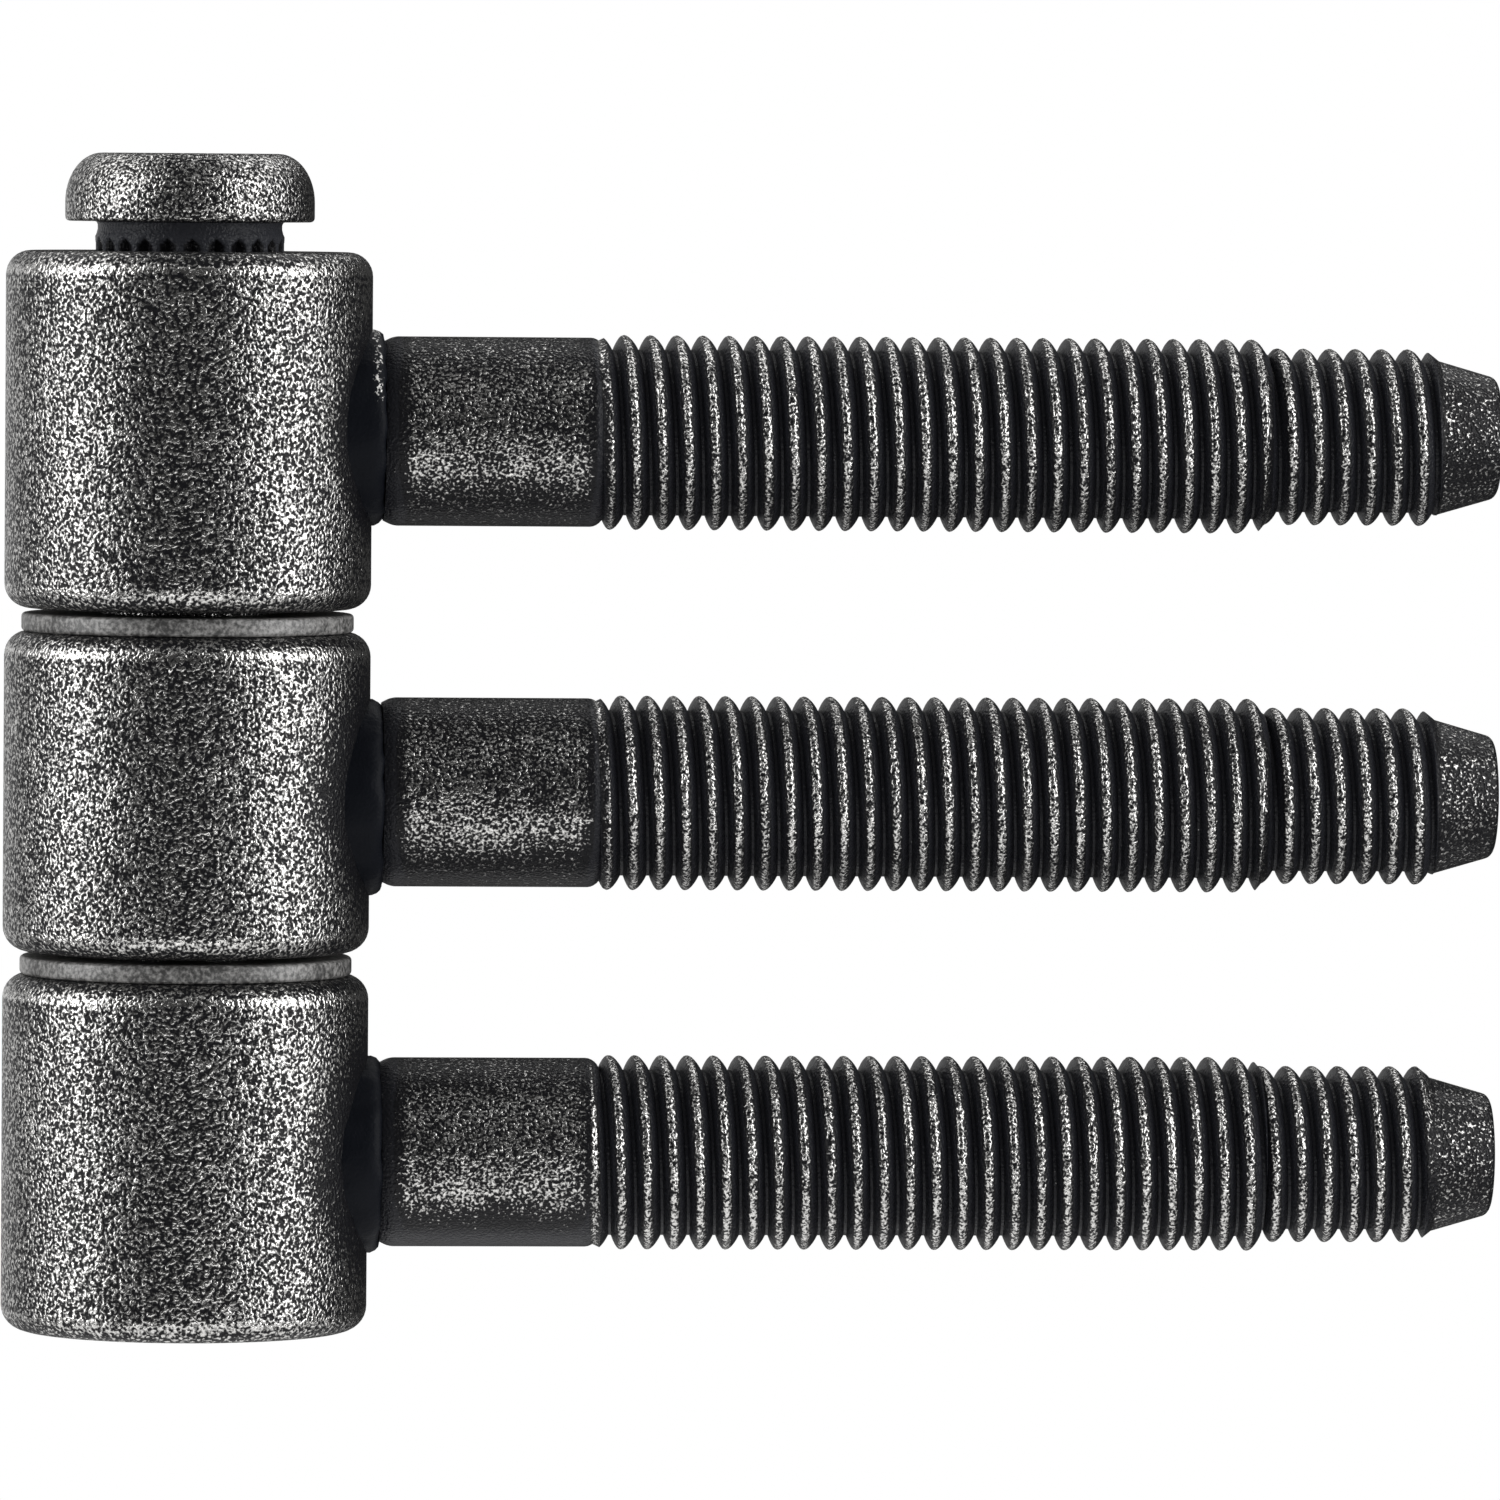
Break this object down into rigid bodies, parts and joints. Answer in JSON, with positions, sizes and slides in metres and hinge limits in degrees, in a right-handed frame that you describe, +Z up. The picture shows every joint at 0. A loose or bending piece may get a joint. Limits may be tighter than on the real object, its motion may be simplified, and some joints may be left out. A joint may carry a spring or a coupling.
{
  "type": "three-part barrel hinge",
  "caption": "Drill-in barrel hinge: stacked barrels with welded threaded studs turn on a loose mushroom-head pin, with washers between them.",
  "frame": {"origin": "on the pin's axis, in the lower end face of the bottom barrel", "axes": "+Z up along the pin towards its head, +X along the threaded studs away from the barrels"},
  "size_m": [0.0613, 0.015, 0.0482],
  "materials": {
    "blackened_barrel_steel": "charcoal lacquer worn back to silver speckle, antique silver",
    "blackened_stud_steel": "charcoal lacquer worn back to silver speckle on the thread's crests",
    "blackened_pin_steel": "charcoal lacquer worn back to silver speckle, lighter on the head",
    "weld_metal": "rough weld metal under dark lacquer",
    "washer_grey": "matte mid-grey bearing plastic, lightly mottled"
  },
  "bodies": {
    "top_leaf": {"top_barrel": "blackened_barrel_steel", "top_stud": "blackened_stud_steel", "top_weld": "weld_metal"},
    "middle_leaf": {"middle_barrel": "blackened_barrel_steel", "middle_stud": "blackened_stud_steel", "middle_weld": "weld_metal", "upper_washer": "washer_grey"},
    "bottom_leaf": {"bottom_barrel": "blackened_barrel_steel", "bottom_stud": "blackened_stud_steel", "bottom_weld": "weld_metal", "lower_washer": "washer_grey"},
    "pin": {"hinge_pin": "blackened_pin_steel"}
  },
  "joints": [
    {"name": "middle_leaf_turn", "type": "hinge", "parent": "top_leaf", "child": "middle_leaf", "pos_m": [0, 0, 0.0221], "axis": [0, 0, 1], "continuous": true},
    {"name": "bottom_leaf_turn", "type": "hinge", "parent": "top_leaf", "child": "bottom_leaf", "pos_m": [0, 0, 0.0073], "axis": [0, 0, 1], "continuous": true},
    {"name": "pin_slide", "type": "slide", "parent": "top_leaf", "child": "pin", "axis": [0, 0, 1], "range_m": [-0.0012, 0.0423]}
  ]
}
